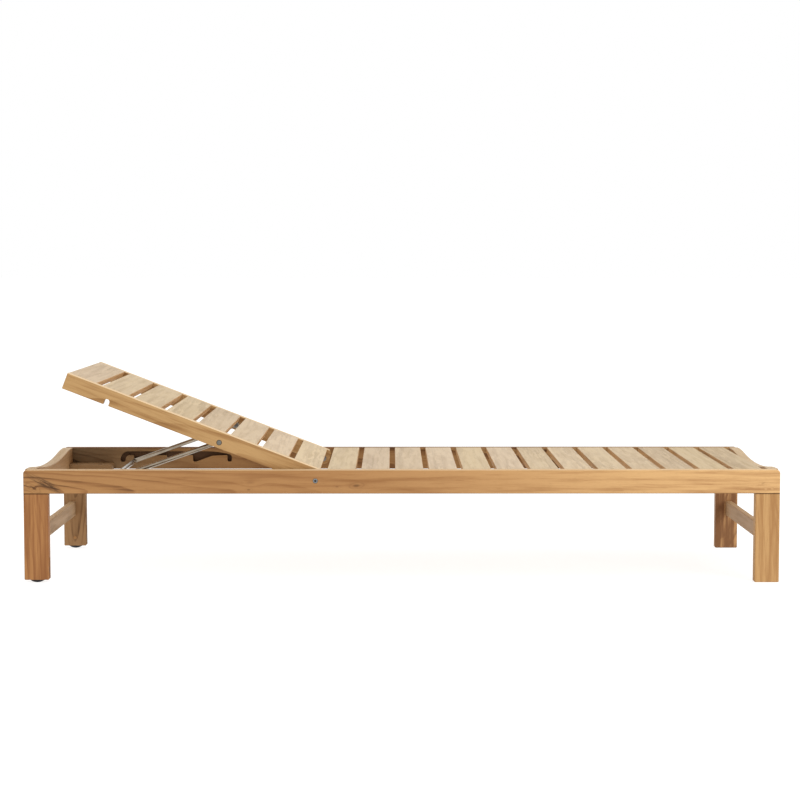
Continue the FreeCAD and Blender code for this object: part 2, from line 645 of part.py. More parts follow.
# Pivot bolts: through side rail, spacer and backrest rail, with a flange nut inside
for side_name, side in SIDES.items():
    place = ("pivot_from_head", PIVOT_HEIGHT)
    head = f"{side}*(frame_width/2 - head_sink)"
    under_head = f"{side}*(frame_width/2 - head_sink - pivot_head_thick)"
    nut_face = f"({BACK_INSIDE} - face_gap)"
    nut_end = f"({nut_face} - pivot_nut_thick)"
    bolt = frame_body("pivot_bolt_" + side_name)
    pad(bolt, "y", under_head, head, circles=[place + ("pivot_head_diameter",)])
    chamfer_faces(bolt, [side*ACROSS], "head_chamfer")
    pad(bolt, "y", under_head, f"{side}*({nut_end} - bolt_end)", circles=[place + ("pivot_bolt_diameter",)])
    pocket(bolt, "y", head, f"{side}*(frame_width/2 - head_sink - pivot_socket_depth)",
           hexagon(*place, "pivot_socket"))
    spacer = frame_body("pivot_spacer_" + side_name)
    pad(spacer, "y", f"{side}*{RAIL_INSIDE}", f"{side}*({BACK_OUTSIDE} + face_gap)",
        circles=[place + ("pivot_spacer_diameter",), place + ("pivot_bolt_diameter + 2*running_fit",)])
    nut = frame_body("pivot_nut_" + side_name)
    pad(nut, "y", f"{side}*{nut_face}", f"{side}*({nut_face} - flange_thick)",
        circles=[place + ("pivot_flange_diameter",)])
    pad(nut, "y", f"{side}*{nut_face}", f"{side}*{nut_end}", hexagon(*place, "pivot_nut_width"))
    pocket(nut, "y", f"{side}*{nut_face}", f"{side}*{nut_end}",
           circles=[place + ("pivot_bolt_diameter + 2*running_fit",)])

# Prop bolts: through the backrest rail, a spacer and the prop arm's eye, with a flange nut inside
for side_name, side in SIDES.items():
    place = ("-prop_from_pivot", "0")
    head = f"{side}*({BACK_OUTSIDE} - head_sink)"
    under_head = f"{side}*({BACK_OUTSIDE} - head_sink - prop_head_thick)"
    eye_out = f"({ARM_MIDDLE} + eye_thick/2)"
    nut_face = f"({ARM_MIDDLE} - eye_thick/2 - face_gap)"
    nut_end = f"({nut_face} - prop_nut_thick)"
    bolt = backrest_body("prop_bolt_" + side_name)
    pad(bolt, "y", under_head, head, circles=[place + ("prop_head_diameter",)])
    chamfer_faces(bolt, [side*ACROSS], "head_chamfer")
    pad(bolt, "y", under_head, f"{side}*({nut_end} - bolt_end)", circles=[place + ("prop_bolt_diameter",)])
    spacer = backrest_body("prop_spacer_" + side_name)
    pad(spacer, "y", f"{side}*{BACK_INSIDE}", f"{side}*({eye_out} + face_gap)",
        circles=[place + ("prop_spacer_diameter",), place + ("prop_bolt_diameter + 2*running_fit",)])
    nut = backrest_body("prop_nut_" + side_name)
    pad(nut, "y", f"{side}*{nut_face}", f"{side}*({nut_face} - flange_thick)",
        circles=[place + ("prop_flange_diameter",)])
    pad(nut, "y", f"{side}*{nut_face}", f"{side}*{nut_end}", hexagon(*place, "prop_nut_width"))
    pocket(nut, "y", f"{side}*{nut_face}", f"{side}*{nut_end}",
           circles=[place + ("prop_bolt_diameter + 2*running_fit",)])

# Prop arms: round bar forged flat into an eye at the top and coped on to the cross rod below
for side_name, side in SIDES.items():
    arm = prop_body("prop_arm_" + side_name)
    middle_y = f"{side}*{ARM_MIDDLE}"
    neck_end = "(prop_length - eye_diameter/2)"
    tip = "(prop_length + eye_diameter)"
    pad(arm, "x", "0", "prop_length", circles=[(middle_y, "0", "rod_diameter")])
    pocket(arm, "y", f"{middle_y} - rod_diameter", f"{middle_y} + rod_diameter",
           circles=[("0", "0", "rod_diameter + 2*weld_gap")])
    pad(arm, "y", f"{middle_y} - eye_thick/2", f"{middle_y} + eye_thick/2",
        circles=[("prop_length", "0", "eye_diameter")])
    for turn in (-1, 1):
        flat, clear = f"{middle_y} + {turn}*eye_thick/2", f"{middle_y} + {turn}*rod_diameter"
        pocket(arm, "z", "-eye_diameter", "eye_diameter",
               [(f"{neck_end} - eye_neck", clear), (neck_end, flat), (tip, flat), (tip, clear)])
    pocket(arm, "y", f"{middle_y} - eye_thick", f"{middle_y} + eye_thick",
           circles=[("prop_length", "0", "prop_bolt_diameter + 2*running_fit")])

# Cross rod: joins the arms' lower ends and reaches almost to the side rails
rod = prop_body("cross_rod")
rod_reach = f"({RAIL_INSIDE} - rod_end_gap)"
pad(rod, "y", f"-{rod_reach}", rod_reach, circles=[("0", "0", "rod_diameter")])
chamfer_faces(rod, [ACROSS, -ACROSS], "rod_chamfer")

doc.recompute()

for item in doc.Objects:
    if "Invalid" in item.State or "Error" in item.State:
        raise RuntimeError(f"{item.Label} failed: {item.State}")
    if item.TypeId == "PartDesign::Pocket" and item.Shape.Volume > item.BaseFeature.Shape.Volume - 1:
        raise RuntimeError(f"{item.Label} cuts nothing")
for item in EXPORTS:
    if item.Shape.isNull() or not item.Shape.isValid():
        raise RuntimeError(f"{item.Label} has no valid shape")
for item in EXPORTS:
    item.Shape.exportStep(f"parts/{item.Label}.step")
print(len(EXPORTS), "nodes")
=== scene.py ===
import math
import random

import bpy
from mathutils import Matrix, Vector


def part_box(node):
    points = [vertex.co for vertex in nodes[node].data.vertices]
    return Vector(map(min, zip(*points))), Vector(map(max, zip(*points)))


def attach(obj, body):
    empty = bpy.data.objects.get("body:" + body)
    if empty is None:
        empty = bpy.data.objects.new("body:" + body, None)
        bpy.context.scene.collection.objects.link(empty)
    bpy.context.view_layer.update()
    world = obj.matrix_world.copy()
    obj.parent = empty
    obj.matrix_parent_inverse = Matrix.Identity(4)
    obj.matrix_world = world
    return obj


# Teak sun lounger with a slatted seat and a backrest that a steel prop holds up in ratchet tracks.
# Metres, head end at -X, standing on Z = 0. Right is -Y, the side that faces the camera.

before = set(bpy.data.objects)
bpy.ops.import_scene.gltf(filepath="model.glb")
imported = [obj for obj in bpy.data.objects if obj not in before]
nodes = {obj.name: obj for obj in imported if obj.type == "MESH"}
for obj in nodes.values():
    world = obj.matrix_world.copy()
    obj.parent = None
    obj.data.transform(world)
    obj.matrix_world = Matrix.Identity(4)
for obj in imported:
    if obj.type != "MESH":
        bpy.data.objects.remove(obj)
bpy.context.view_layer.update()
bpy.ops.object.select_all(action="DESELECT")


# Studio: a white floor without walls in an even white surround, one soft light overhead and one low in
# front towards the foot end, and the camera low and straight in front of the lounger's long side.
scene = bpy.context.scene
scene.view_settings.view_transform = "Standard"
scene.view_settings.look = "None"

FOCAL_PIXELS, IMAGE_PIXELS = 1925.6, 800
CAMERA_PLACE = (-0.0262, -5.3826, 0.8449)
CAMERA_DIP_DEGREES, CAMERA_TURN_DEGREES = 4.068, -0.237
lens = bpy.data.cameras.new("camera")
lens.sensor_width = 36
lens.lens = FOCAL_PIXELS * lens.sensor_width / IMAGE_PIXELS
camera = bpy.data.objects.new("camera", lens)
camera.location = CAMERA_PLACE
camera.rotation_euler = (math.radians(90 - CAMERA_DIP_DEGREES), 0, math.radians(CAMERA_TURN_DEGREES))
scene.collection.objects.link(camera)
scene.camera = camera

WHITE = (1.0, 1.0, 1.0, 1.0)
surround = bpy.data.worlds.new("surround")
surround.use_nodes = True
background = surround.node_tree.nodes["Background"]
background.inputs["Color"].default_value = WHITE
background.inputs["Strength"].default_value = 1.0
scene.world = surround


def add_light(name, kind, place, aim, energy, colour, **sizes):
    """A lamp that stands at one place and shines at another."""
    light = bpy.data.lights.new(name, kind)
    light.energy = energy
    light.color = colour
    for size_name, size in sizes.items():
        setattr(light, size_name, size)
    lamp = bpy.data.objects.new(name, light)
    lamp.location = place
    lamp.rotation_euler = (Vector(aim) - Vector(place)).to_track_quat("-Z", "Y").to_euler()
    scene.collection.objects.link(lamp)


add_light("light_overhead", "SUN", place=(0.5, -1.0, 4.0), aim=(0, 0, 0),
          energy=0.5, colour=(1.0, 0.99, 0.97), angle=math.radians(50))
add_light("light_front", "AREA", place=(2.6, -2.6, 0.9), aim=(0.4, 0, 0.2),
          energy=42, colour=(1.0, 0.98, 0.95), size=1.4)

FLOOR_SIZE = 200
bpy.ops.mesh.primitive_plane_add(size=FLOOR_SIZE, location=(0, 0, 0))
floor = bpy.context.active_object
floor.name = "floor"
bpy.ops.object.select_all(action="DESELECT")


# Side rails: two planed teak boards the whole length of the lounger, golden brown outside and painted darker
# inside with painted shade, where the ratchet tracks are routed. The right one has a swirl at its head end.
class Value:
    """A number that varies over a surface. A sum written with it becomes Math nodes."""

    def __init__(self, finish, socket):
        self.finish = finish
        self.socket = socket

    def math(self, operation, first, second=0.0):
        return self.finish.add("ShaderNodeMath", {"operation": operation}, {0: first, 1: second})

    def __add__(self, other):
        return self.math("ADD", self, other)

    def __sub__(self, other):
        return self.math("SUBTRACT", self, other)

    def __rsub__(self, other):
        return self.math("SUBTRACT", other, self)

    def __mul__(self, other):
        return self.math("MULTIPLY", self, other)

    def __truediv__(self, other):
        return self.math("DIVIDE", self, other)

    def __pow__(self, other):
        return self.math("POWER", self, other)

    def __abs__(self):
        return self.math("ABSOLUTE", self)

    __radd__ = __add__
    __rmul__ = __mul__


class Finish:
    """One material: its surface shader and the nodes that paint it."""

    def __init__(self, name, **constants):
        self.material = bpy.data.materials.new(name)
        self.material.use_nodes = True
        self.tree = self.material.node_tree
        self.tree.nodes.clear()
        self.surface = self.tree.nodes.new("ShaderNodeBsdfPrincipled")
        output = self.tree.nodes.new("ShaderNodeOutputMaterial")
        self.tree.links.new(self.surface.outputs[0], output.inputs["Surface"])
        self.paint(**constants)

    def feed(self, socket, value):
        if isinstance(value, Value):
            self.tree.links.new(value.socket, socket)
        else:
            socket.default_value = value

    def paint(self, **inputs):
        for name, value in inputs.items():
            self.feed(self.surface.inputs[name.replace("_", " ")], value)

    def add(self, kind, settings=None, inputs=None, output=0):
        node = self.tree.nodes.new(kind)
        for name, value in (settings or {}).items():
            setattr(node, name, value)
        for name, value in (inputs or {}).items():
            self.feed(node.inputs[name], value)
        return Value(self, node.outputs[output])

    def split(self, place):
        parts = self.add("ShaderNodeSeparateXYZ", {}, {0: place})
        return [Value(self, socket) for socket in parts.socket.node.outputs]

    def mix(self, first, second, share, blend="MIX"):
        """Two colours. A Mix node's colour sockets go by their place: share 0, colours 6 and 7, result 2."""
        settings = {"data_type": "RGBA", "blend_type": blend}
        return self.add("ShaderNodeMix", settings, {0: share, 6: first, 7: second}, 2)

    def ease(self, value, low, high):
        """A soft step: 0 up to low, 1 from high on. With high below low it falls instead of rising."""
        places = {"Value": value, "From Min": low, "From Max": high}
        return self.add("ShaderNodeMapRange", {"interpolation_type": "SMOOTHSTEP"}, places)

    def noise(self, place, stretch, detail=3.0, roughness=0.55):
        """A cloudy pattern. stretch is how many of its waves fill a metre on each axis."""
        stretched = self.add("ShaderNodeVectorMath", {"operation": "MULTIPLY"}, {0: place, 1: stretch})
        settings = {"Vector": stretched, "Scale": 1.0, "Detail": detail, "Roughness": roughness}
        return self.add("ShaderNodeTexNoise", {}, settings)


def tone(red, green, blue):
    """A colour as a screen shows it, from 0 to 255, turned into the light that it stands for."""
    shares = [channel / 255 for channel in (red, green, blue)]
    return [share / 12.92 if share < 0.04045 else ((share + 0.055) / 1.055) ** 2.4 for share in shares] + [1.0]


def lay_board(finish, axes, middle, tip):
    """Measures every point along, across and through a board from the board's own middle."""
    place = finish.add("ShaderNodeTexCoord", output="Object")
    if tip:
        place = finish.add("ShaderNodeMapping", {}, {"Vector": place, "Rotation": (0, tip, 0)})
    sides = dict(zip("XYZ", finish.split(place)))
    finish.along, finish.across, finish.through = [sides[axis] - centre for axis, centre in zip(axes, middle)]


def grow_knots(finish, radius, knots):
    """Bulges the rings round each knot, and gives how dark the knots' hearts and rims are. A knot is its
    place along and across, its size, its darkness and the slope of its long axis."""
    hearts = 0.0
    for knot_along, knot_across, size, darkness, slope in knots:
        from_knot = finish.along - knot_along
        off_axis = finish.across - knot_across - from_knot * slope
        reach = ((from_knot * 0.42) ** 2 + off_axis ** 2) ** 0.5 / size
        radius = radius + reach.math("EXPONENT", reach * reach * -0.9) * size * 0.8
        rim = finish.ease(abs(reach - 0.9), 0.25, 0.0) * 0.4
        hearts = (finish.ease(reach, 0.7, 0.1) + rim) * darkness + hearts
    return radius, hearts


def late_wood(finish, radius, rings, drift):
    """The dark edge of each year's ring. Rings are not evenly wide, and no two are equally dark."""
    turns = radius * rings + drift * 0.5
    turns = turns + turns.math("SINE", turns * 2.3) * 0.17
    turn = turns.math("FRACT", turns)
    year = abs(turns.math("SINE", (turns - turn) * 12.9 + 1.3))
    return finish.ease(turn, 0.42, 0.93) * finish.ease(turn, 1.0, 0.95) * (year * 0.8 + 0.2)


BOARD_STEP = (3.71, 1.37, 2.13)
TRUNK_END, TRUNK_FLARE = -1.0, -6.7


def teak(name, pale, deep, streak, axes="XZY", middle=(0, 0, 0), tip=0.0, seed=0, pith=(0.05, 0.07),
         tilt=0.04, rings=90, figure=0.45, bands=0.45, wave=1.0, stray=1.0, mottle=0.3, bend=0.0, knots=(),
         rings_end=None, far_end=None, weathered=None):
    """Solid teak. axes names the object's axes that lie along, across and through the board, and middle is
    the board's own middle on them. The rings, so many to a metre, circle a pith that lies beside the board,
    leans along it by tilt and bends near the trunk's end. figure, bands and mottle are how strongly the
    rings, the bands and the blotches show. rings_end is where along the board the rings fade, far_end the
    shade at the foot end, and weathered the grey of the faces turned up."""
    finish = Finish(name, IOR=1.45, Specular_IOR_Level=0.25)
    lay_board(finish, axes, middle, tip)
    along, across, through = finish.along, finish.across, finish.through
    moved = [measure + seed * step for measure, step in zip((along, across, through), BOARD_STEP)]
    board = finish.add("ShaderNodeCombineXYZ", {}, dict(enumerate(moved)))

    # The rings, which sway and drift as the tree grew.
    sway = finish.noise(board, (2.2 * wave, 8.0, 8.0), detail=2.0) - 0.5
    drift = finish.noise(board, (5.0 * wave, 30.0, 30.0), detail=2.0) - 0.5
    ring_across = across - pith[0] + (sway * 0.03 + drift * 0.006) * stray
    ring_through = through - pith[1] + along * tilt + sway * 0.02 * stray
    if bend:
        flare = along.math("EXPONENT", (along - TRUNK_END) * TRUNK_FLARE)
        ring_through = ring_through + (1.0 - flare) * bend
    radius = (ring_across * ring_across + ring_through * ring_through) ** 0.5
    radius, hearts = grow_knots(finish, radius, knots)
    late = late_wood(finish, radius, rings, drift)
    if rings_end:
        late = late * (finish.ease(along, *rings_end) * 0.85 + 0.15)

    # The grain, from broad bands down to single pores, and the blotches that cross it.
    wide = finish.ease(finish.noise(board, (1.3, 14.0, 14.0), detail=2.0), 0.35, 0.68)
    narrow = finish.ease(finish.noise(board, (4.0, 85.0, 85.0), detail=3.0, roughness=0.6), 0.38, 0.7)
    fibres = finish.noise(board, (12.0, 560.0, 560.0), detail=3.0, roughness=0.7)
    pores = finish.ease(finish.noise(board, (60.0, 1500.0, 1500.0), detail=1.0), 0.6, 0.74)
    dashes = finish.ease(finish.noise(board, (15.0, 330.0, 330.0), detail=2.0), 0.6, 0.72)
    blotches = finish.noise(board, (7.0, 62.0, 62.0), detail=4.0, roughness=0.65)

    # The colour, from pale through deep to the streaks of the strongest rings.
    if far_end:
        pale = finish.mix(pale, far_end, finish.ease(along, -0.3, 1.0))
    depth = late * figure * (0.35 + wide * 0.65) + (narrow * 0.6 + wide * 0.4) * bands
    depth = depth + (blotches - 0.5) * mottle + dashes * bands * 0.3
    colour = finish.mix(pale, deep, finish.ease(depth + (fibres - 0.5) * 0.25, 0.0, 0.95))
    if knots:
        colour = finish.mix(colour, streak, finish.ease(hearts, 0.0, 1.0) * 0.75)
    colour = finish.mix(colour, streak, finish.ease(late * (wide + narrow) * figure, 0.4, 1.3) * 0.75)
    if weathered:
        curls = finish.ease(abs(blotches - 0.5), 0.05, 0.01)
        marks = depth * 0.26 + (blotches - 0.5) * mottle * 0.35 + curls * wide * mottle * 0.14
        facing = finish.add("ShaderNodeTexCoord", output="Normal")
        upward = finish.ease(finish.split(facing)[2], 0.45, 0.9)
        colour = finish.mix(colour, finish.mix(weathered, streak, marks), upward * 0.85)
    finish.colour = finish.mix(colour, streak, pores * 0.2)

    height = fibres * 0.5 - pores * 0.8 - late * 0.3
    bump = finish.add("ShaderNodeBump", {}, {"Strength": 0.3, "Distance": 0.0004, "Height": height})
    finish.paint(Base_Color=finish.colour, Roughness=0.52 + narrow * 0.1 + fibres * 0.1, Normal=bump)
    return finish


def clothe(finish, *names):
    """Gives the CAD nodes this finish."""
    for name in names:
        for slot in nodes[name].material_slots:
            slot.material = finish.material


SIDES = (("right", -1), ("left", 1))
GOLD, GOLD_DEEP, GOLD_STREAK = tone(164, 120, 74), tone(139, 95, 54), tone(84, 54, 30)
GOLD_FOOT_END = tone(199, 159, 108)
RAIL_OUT, RAIL_LEVEL, RAIL_HALF_THICK = 0.311, 0.2685, 0.014
PITH_BEHIND_FACE = 0.03
RIGHT_RAIL_FIGURE = dict(rings_end=(0.25, -0.45), knots=(
    (-0.4, -0.002, 0.011, 0.3, 0.0), (-0.12, -0.01, 0.009, 0.75, 0.1), (-0.172, -0.013, 0.005, 0.5, 0.0),
    (-0.405, -0.021, 0.005, 0.6, 0.0), (-0.974, -0.016, 0.009, 0.9, -0.5), (0.955, -0.004, 0.006, 0.4, 0.3)))

# Masks on a rail: how far from the rail's middle each one starts and is full. The track floor's own mask is
# measured from the plane of that floor.
FACE_MASK, ROUTED_FROM, ROUTED_TO = (0.0135, 0.0138), (0.0005, 0.001), (0.0136, 0.0133)
WITHIN_HEIGHT, WITHIN_LENGTH = (0.0290, 0.0285), (0.985, 0.984)
TRACK_FLOOR, TRACK_FLOOR_MASK = 0.003, (0.0008, 0.0004)
BOTTOM_ARRIS, TOP_ARRIS = (-0.0302, -0.0308), (0.0298, 0.0306)
# Painted shade for the tracks and the bottom edge; painted shade and a painted highlight for the top edges.
TRACK_PAINTED_SHADE, BOTTOM_EDGE_PAINTED_SHADE, TOP_EDGE_PAINTED_SHADE = tone(136, 130, 126), tone(168, 160, 152), tone(196, 186, 176)
TOP_EDGE_HIGHLIGHT = tone(214, 186, 146)
# Painted shade multiplied onto the rails' inner faces, deepening to a painted shadow at the head end.
INNER_PAINTED_SHADOW_HEAD_END, INNER_PAINTED_SHADE = tone(182, 201, 226), tone(240, 246, 250)

FEATHER_ALONG, FEATHER_ACROSS, FEATHER_FALL = -0.944, -0.004, 0.5
FEATHER_HALF_LENGTH, FEATHER_HALF_WIDTH = 1 / 21, 1 / 85
FEATHER_BROWN = tone(74, 50, 30)


def feathered(rail, colour):
    """The swirl at the head end: dark strokes like a feather's, fanned along a line that slopes down."""
    from_swirl = rail.along - FEATHER_ALONG
    off_line = rail.across - FEATHER_ACROSS + from_swirl * FEATHER_FALL
    reach = ((from_swirl / FEATHER_HALF_LENGTH) ** 2 + (off_line / FEATHER_HALF_WIDTH) ** 2) ** 0.5
    spread = rail.ease(reach, 1.3, 0.45)
    strokes = rail.add("ShaderNodeCombineXYZ", {}, {0: from_swirl, 1: off_line, 2: rail.through})
    strokes = rail.ease(rail.noise(strokes, (32.0, 330.0, 330.0), detail=3.0, roughness=0.65), 0.4, 0.58)
    return rail.mix(colour, FEATHER_BROWN, spread * (strokes * 0.8 + 0.16))


for side_name, side in SIDES:
    is_right = side_name == "right"
    rail = teak("rail_teak_" + side_name, GOLD, GOLD_DEEP, GOLD_STREAK, middle=(0, RAIL_LEVEL, side * RAIL_OUT),
                seed=1 + side, pith=(-0.03, side * (RAIL_HALF_THICK + PITH_BEHIND_FACE)), tilt=-0.03 * side,
                bend=-0.045 * side, rings=85, figure=1.0, bands=0.55, mottle=0.7, stray=0.7,
                far_end=GOLD_FOOT_END, **(RIGHT_RAIL_FIGURE if is_right else {}))
    inward = rail.through * -side
    inner_face = rail.ease(inward, *FACE_MASK)
    away_from_edges = rail.ease(abs(rail.across), *WITHIN_HEIGHT) * rail.ease(abs(rail.along), *WITHIN_LENGTH)
    routed = rail.ease(inward, *ROUTED_FROM) * rail.ease(inward, *ROUTED_TO) * away_from_edges
    track_floor = rail.ease(abs(inward - TRACK_FLOOR), *TRACK_FLOOR_MASK) * away_from_edges
    colour = feathered(rail, rail.colour) if is_right else rail.colour
    # Painted shade on the inner faces, darkest as a painted shadow in the corner at the head end.
    inner_painted_shade = rail.mix(INNER_PAINTED_SHADOW_HEAD_END, INNER_PAINTED_SHADE, rail.ease(rail.along, -0.99, -0.5))
    colour = rail.mix(colour, inner_painted_shade, inner_face, "MULTIPLY")
    # Painted shade in the routed tracks and on their floors.
    colour = rail.mix(colour, TRACK_PAINTED_SHADE, rail.ease(routed + track_floor, 0.0, 1.0), "MULTIPLY")
    # Painted shade along the bottom edge, which faces down and meets the legs.
    colour = rail.mix(colour, BOTTOM_EDGE_PAINTED_SHADE, rail.ease(rail.across, *BOTTOM_ARRIS), "MULTIPLY")
    # Painted highlight on the right rail's top edge, painted shade on the left rail's.
    top_arris = rail.ease(rail.across, *TOP_ARRIS)
    if is_right:
        colour = rail.mix(colour, TOP_EDGE_HIGHLIGHT, top_arris * 0.6)
    else:
        colour = rail.mix(colour, TOP_EDGE_PAINTED_SHADE, top_arris, "MULTIPLY")
    rail.paint(Base_Color=colour)
    clothe(rail, "side_rail_" + side_name)


# Head and foot rails: teak boards across the ends, tenoned into the side rails, their top edges worked to
# a shallow dip. They have weathered a little greyer than the side rails.
ENDS = (("head", -1), ("foot", 1))
SAND, SAND_DEEP, SAND_STREAK = tone(164, 128, 88), tone(138, 104, 68), tone(100, 72, 46)
SAND_WEATHERED = tone(199, 174, 139)
END_RAIL_OUT, END_RAIL_LEVEL = 0.986, 0.268
for number, (end, way) in enumerate(ENDS):
    clothe(teak(end + "_rail_teak", SAND, SAND_DEEP, SAND_STREAK, axes="YZX",
                middle=(0, END_RAIL_LEVEL, way * END_RAIL_OUT), seed=3 + number, pith=(0.06, 0.05), tilt=0.06,
                bands=0.7, weathered=SAND_WEATHERED), end + "_rail")


# Legs: square-edged teak posts with upright grain, tenoned up into the side rails. The right head leg is
# the reddest, and the left pair is browner with a broad cathedral figure.
LEG_OUT, LEG_MIDDLE_LEVEL = 0.9675, 0.12
JOINT_LINE, JOINT_PAINTED_SHADE = (0.1148, 0.1158), tone(150, 140, 130)
LEG_FINISHES = {
    ("head", "right"): dict(pale=tone(165, 116, 69), deep=tone(137, 89, 50), streak=tone(104, 66, 38),
                            pith=(0.09, 0.05), tilt=0.10, rings=80, figure=0.6, bands=1.1, stray=1.6),
    ("foot", "right"): dict(pale=tone(175, 136, 88), deep=tone(151, 110, 66), streak=tone(108, 73, 42),
                            pith=(0.07, 0.05), tilt=0.14, rings=75, figure=0.6, bands=1.1, stray=1.6),
    ("head", "left"): dict(pale=tone(150, 114, 76), deep=tone(112, 79, 46), streak=tone(62, 40, 24),
                           pith=(0.003, -0.0014), tilt=0.12, rings=90, figure=0.9, bands=0.6, stray=0.5),
    ("foot", "left"): dict(pale=tone(190, 146, 97), deep=tone(120, 82, 50), streak=tone(84, 55, 34),
                           pith=(-0.05, 0.06), tilt=0.35, rings=62, figure=0.45, bands=1.3, mottle=1.2),
}
for number, ((end, side_name), wood) in enumerate(LEG_FINISHES.items()):
    middle = (LEG_MIDDLE_LEVEL, dict(ENDS)[end] * LEG_OUT, dict(SIDES)[side_name] * RAIL_OUT)
    leg = teak(f"leg_teak_{end}_{side_name}", axes="ZXY", seed=5 + number, middle=middle, **wood)
    # Painted shade along the joint under the side rail.
    joint_line = leg.ease(leg.along, *JOINT_LINE)
    leg.paint(Base_Color=leg.mix(leg.colour, JOINT_PAINTED_SHADE, joint_line, "MULTIPLY"))
    clothe(leg, f"{end}_leg_{side_name}")


# Pegs: turned teak dowels, two through each leg's tenon, driven in and cut flush so that their end grain
# shows. They are paler at the foot end, as the side rails are.
PEG, PEG_DEEP, PEG_STREAK = tone(158, 115, 70), tone(140, 97, 57), tone(104, 70, 42)
PEG_FOOT_END = tone(182, 142, 95)
pegs = teak("peg_teak", PEG, PEG_DEEP, PEG_STREAK, axes="YXZ", seed=11, rings=260)
towards_foot = pegs.ease(pegs.across, -0.5, 0.5)
pegs.paint(Base_Color=pegs.mix(pegs.colour, PEG_FOOT_END, towards_foot * 0.8))
clothe(pegs, "leg_pegs")


# Stretchers and rest blocks: plain teak bars left greyer than the rest, low between the legs and in the
# corners under the backrest, where each block is held down by two countersunk screws.
DUN, DUN_DEEP, DUN_STREAK = tone(168, 138, 104), tone(142, 114, 82), tone(98, 74, 50)
DUN_WEATHERED = tone(196, 166, 126)
BLOCK, BLOCK_DEEP, BLOCK_STREAK = tone(138, 106, 70), tone(112, 82, 52), tone(80, 56, 34)
STRETCHER_LEVEL = 0.119
BLOCK_ALONG, BLOCK_OUT, BLOCK_LEVEL = -0.91, 0.266, 0.25
for number, (end, way) in enumerate(ENDS):
    clothe(teak(end + "_stretcher_teak", DUN, DUN_DEEP, DUN_STREAK, axes="YZX", middle=(0, STRETCHER_LEVEL, 0),
                seed=12 + number, bands=0.7, weathered=DUN_WEATHERED), end + "_stretcher")
for number, (side_name, side) in enumerate(SIDES):
    clothe(teak("rest_teak_" + side_name, BLOCK, BLOCK_DEEP, BLOCK_STREAK, axes="XYZ",
                middle=(BLOCK_ALONG, side * BLOCK_OUT, BLOCK_LEVEL), seed=14 + number), "rest_block_" + side_name)

BRUSHED, TURNED, CLOUDED = (6.0, 900.0, 900.0), (300.0, 300.0, 300.0), (24.0, 24.0, 24.0)


def steel(name, shade, roughness, tip=0.0, scratched=BRUSHED):
    """Stainless steel. scratched is how many scratches fill a metre on each axis, after a turn by tip."""
    finish = Finish(name, Metallic=1.0)
    finish.place = finish.add("ShaderNodeTexCoord", output="Object")
    turned = finish.add("ShaderNodeMapping", {}, {"Vector": finish.place, "Rotation": (0, tip, 0)})
    scratches = finish.noise(turned, scratched, detail=3.0, roughness=0.6)
    clouds = finish.noise(turned, CLOUDED, detail=2.0)
    darker = [channel * 0.7 for channel in shade[:3]] + [1.0]
    finish.colour = finish.mix(shade, darker, finish.ease(clouds, 0.35, 0.75))
    bump = finish.add("ShaderNodeBump", {}, {"Strength": 0.12, "Distance": 0.0001, "Height": scratches})
    finish.paint(Base_Color=finish.colour, Roughness=roughness + (scratches - 0.5) * 0.15, Normal=bump)
    return finish


def pick(piece, wanted, kind="FACE"):
    """Leaves the piece in edit mode with only its wanted faces or corners selected."""
    if bpy.context.mode != "OBJECT":
        bpy.ops.object.mode_set(mode="OBJECT")
    bpy.ops.object.select_all(action="DESELECT")
    piece.select_set(True)
    bpy.context.view_layer.objects.active = piece
    bpy.ops.object.mode_set(mode="EDIT")
    bpy.ops.mesh.select_mode(type=kind)
    bpy.ops.mesh.select_all(action="DESELECT")
    bpy.ops.object.mode_set(mode="OBJECT")
    for part in piece.data.polygons if kind == "FACE" else piece.data.vertices:
        part.select = wanted(part)
    bpy.ops.object.mode_set(mode="EDIT")


def settle(piece, name, body, finish):
    """Ends a new piece: its place goes into its mesh, and it gets its name, body, slot and finish."""
    bpy.ops.object.mode_set(mode="OBJECT")
    bpy.ops.object.transform_apply(location=True, rotation=True, scale=True)
    bpy.ops.object.shade_smooth_by_angle(angle=math.radians(35))
    piece.name = name
    piece.data.materials.append(finish.material)
    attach(piece, body)


def twin(piece, name, shift, body):
    """Copies a finished piece, with its own mesh, some way off, and leaves the copy selected."""
    bpy.ops.object.select_all(action="DESELECT")
    piece.select_set(True)
    bpy.context.view_layer.objects.active = piece
    bpy.ops.object.duplicate()
    copy = bpy.context.active_object
    bpy.ops.transform.translate(value=shift)
    bpy.ops.object.transform_apply(location=True, rotation=True, scale=True)
    copy.name = name
    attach(copy, body)


# The screw heads are painted dark all over, painted shade that stands for the shade in their recesses.
screw_steel_painted_shade = steel("screw_steel_painted_shade", tone(66, 60, 52), 0.6, scratched=TURNED)
SCREW_PLACE = Vector((-0.953, -0.2515, 0.2549))
SCREW_RADIUS, SCREW_DEPTH, SCREW_BEVEL, SCREW_CROWN = 0.0044, 0.002, 0.0007, 0.0003
CROSS_LENGTH, CROSS_HALF_WIDTH, CROSS_RISE = 0.0058, 0.001, Vector((0, 0, 0.0012))
SCREW_GAP, BLOCK_GAP = 0.071, 0.503
bpy.ops.mesh.primitive_cylinder_add(vertices=32, radius=SCREW_RADIUS, depth=SCREW_DEPTH, location=SCREW_PLACE)
screw = bpy.context.active_object
pick(screw, lambda face: face.normal.z > 0.9)
bpy.ops.mesh.inset(thickness=SCREW_BEVEL)
bpy.ops.transform.translate(value=(0, 0, SCREW_CROWN))
bpy.ops.object.mode_set(mode="OBJECT")
